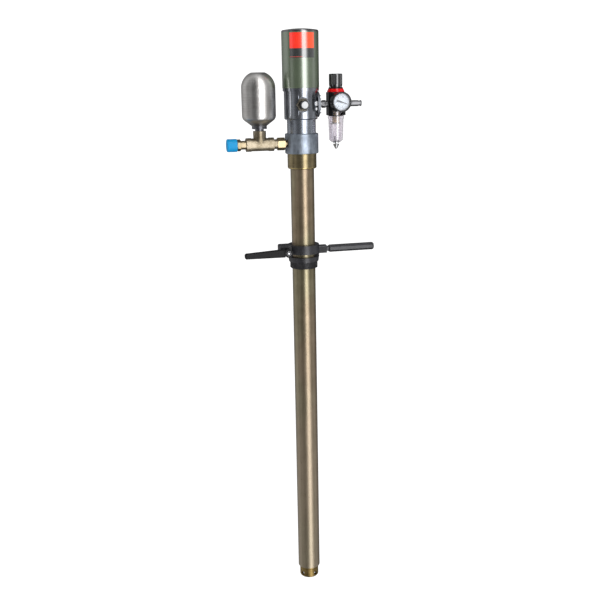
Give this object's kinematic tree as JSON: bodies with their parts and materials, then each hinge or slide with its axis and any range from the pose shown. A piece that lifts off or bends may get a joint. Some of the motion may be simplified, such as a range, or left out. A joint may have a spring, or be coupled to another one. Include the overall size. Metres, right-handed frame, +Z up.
{
  "type": "air-operated oil pump",
  "caption": "Air-driven drum pump: air motor over a long suction tube with bung adapter, surge bottle on the outlet and filter-regulator on the inlet.",
  "frame": {"origin": "on the pump axis at the underside of the adapter's flange, where it seats on the drum", "axes": "+Z up along the suction tube, +X towards the filter-regulator, -Y to the front, where the silencer and the gauge face"},
  "size_m": [0.3153, 0.0955, 1.242],
  "materials": {
    "green_paint": "gloss sage-green paint",
    "machined_aluminium": "turned and glass-bead blasted",
    "dark_aluminium": "turned",
    "black_cast": "black painted casting",
    "plated_steel": "zinc-plated",
    "passivated_steel": "yellow passivated zinc, satin",
    "brass": "turned",
    "bottle_steel": "brushed",
    "black_plastic": "moulded, fine grain",
    "red_plastic": "moulded",
    "blue_plastic": "moulded, soft",
    "white_plastic": "porous or moulded",
    "black_metal": "black enamel",
    "dial_white": "white enamel",
    "clear_plastic": "clear polycarbonate",
    "amber_filter": "sintered",
    "rubber": "moulded",
    "bronze": "sintered bronze",
    "polished_steel": "ground"
  },
  "bodies": {
    "adapter": {"bung_adapter": "black_cast", "turning_bar": "black_cast", "clamp_bolt": "plated_steel"},
    "clamp_lever": {"clamp_lever": "black_cast"},
    "tube_seal": {"tube_seal": "rubber"},
    "pump": {"air_cylinder": "green_paint", "valve_body": "machined_aluminium", "inlet_cover": "machined_aluminium", "cover_screws": "plated_steel", "silencer_body": "dark_aluminium", "silencer_core": "white_plastic", "guide_housing": "dark_aluminium", "rod_bush": "bronze", "rod_seal": "rubber", "outlet_body": "machined_aluminium", "lock_collar": "brass", "suction_tube": "passivated_steel", "foot_valve": "brass", "foot_seat": "plated_steel", "foot_pin": "plated_steel", "outlet_nipple": "brass", "union_nut": "brass", "tee": "brass", "bottle_neck": "plated_steel", "surge_bottle": "bottle_steel", "hose_nipple": "brass", "inlet_nipple": "plated_steel", "regulator_body": "black_plastic", "air_plug": "plated_steel", "diaphragm": "rubber", "range_spring": "plated_steel", "bonnet": "black_plastic", "lock_ring": "red_plastic", "gauge_stem": "brass", "gauge_case": "black_metal", "gauge_dial": "dial_white", "gauge_lens": "clear_plastic", "filter_element": "amber_filter", "baffle": "white_plastic", "bowl": "clear_plastic", "bowl_seal": "rubber", "drain_bush": "plated_steel", "drain_spring": "plated_steel"},
    "air_motor_piston": {"piston_rod": "polished_steel", "rod_nut": "plated_steel", "air_piston": "dark_aluminium", "air_piston_seal": "rubber", "pump_piston": "plated_steel", "pump_piston_seal": "white_plastic"},
    "piston_ball": {"piston_ball": "polished_steel"},
    "foot_ball": {"foot_ball": "polished_steel"},
    "pilot_spool": {"pilot_spool": "polished_steel"},
    "adjusting_screw": {"adjusting_screw": "plated_steel"},
    "regulator_knob": {"regulator_knob": "black_plastic"},
    "spring_plate": {"spring_plate": "brass"},
    "gauge_needle": {"gauge_needle": "black_metal"},
    "drain_valve": {"drain_valve": "plated_steel"},
    "thread_cap": {"thread_cap": "blue_plastic"}
  },
  "joints": [
    {"name": "lever_swing", "type": "hinge", "parent": "adapter", "child": "clamp_lever", "pos_m": [-0.0395, -0.026, 0.0232], "axis": [0, 1, 0], "range_deg": [0, 60]},
    {"name": "pump_turn", "type": "hinge", "parent": "adapter", "child": "tube_seal", "pos_m": [0, 0, 0.0055], "axis": [0, 0, 1], "continuous": true},
    {"name": "pump_slide", "type": "slide", "parent": "tube_seal", "child": "pump", "axis": [0, 0, 1], "range_m": [-0.11, 0.62]},
    {"name": "piston_stroke", "type": "slide", "parent": "pump", "child": "air_motor_piston", "axis": [0, 0, 1], "range_m": [0, 0.072]},
    {"name": "piston_ball_lift", "type": "slide", "parent": "air_motor_piston", "child": "piston_ball", "axis": [0, 0, 1], "range_m": [0, 0.005]},
    {"name": "foot_ball_lift", "type": "slide", "parent": "pump", "child": "foot_ball", "axis": [0, 0, 1], "range_m": [0, 0.005]},
    {"name": "spool_shift", "type": "slide", "parent": "pump", "child": "pilot_spool", "axis": [0, 0, 1], "range_m": [0, 0.008]},
    {"name": "screw_turn", "type": "hinge", "parent": "pump", "child": "adjusting_screw", "pos_m": [0.0745, 0, 0.3725], "axis": [0, 0, 1], "range_deg": [0, 1350]},
    {"name": "knob_lift", "type": "slide", "parent": "adjusting_screw", "child": "regulator_knob", "axis": [0, 0, 1], "range_m": [0, 0.003]},
    {"name": "plate_travel", "type": "slide", "parent": "pump", "child": "spring_plate", "axis": [0, 0, -1], "range_m": [0, 0.0047], "deforming": ["range_spring"]},
    {"name": "needle_turn", "type": "hinge", "parent": "pump", "child": "gauge_needle", "pos_m": [0.0745, -0.0415, 0.333], "axis": [0, 1, 0], "range_deg": [0, 270], "stiffness_Nm_per_rad": 0.00002},
    {"name": "drain_push", "type": "slide", "parent": "pump", "child": "drain_valve", "axis": [0, 0, 1], "range_m": [0, 0.0025], "stiffness_N_per_m": 400, "springref_m": -0.002, "deforming": ["drain_spring"]},
    {"name": "cap_pull", "type": "slide", "parent": "pump", "child": "thread_cap", "axis": [-1, 0, 0], "range_m": [0, 0.04]}
  ],
  "couplings": [
    {"joint": "plate_travel", "follows": "screw_turn", "m_per_rad": 0.00019894}
  ]
}
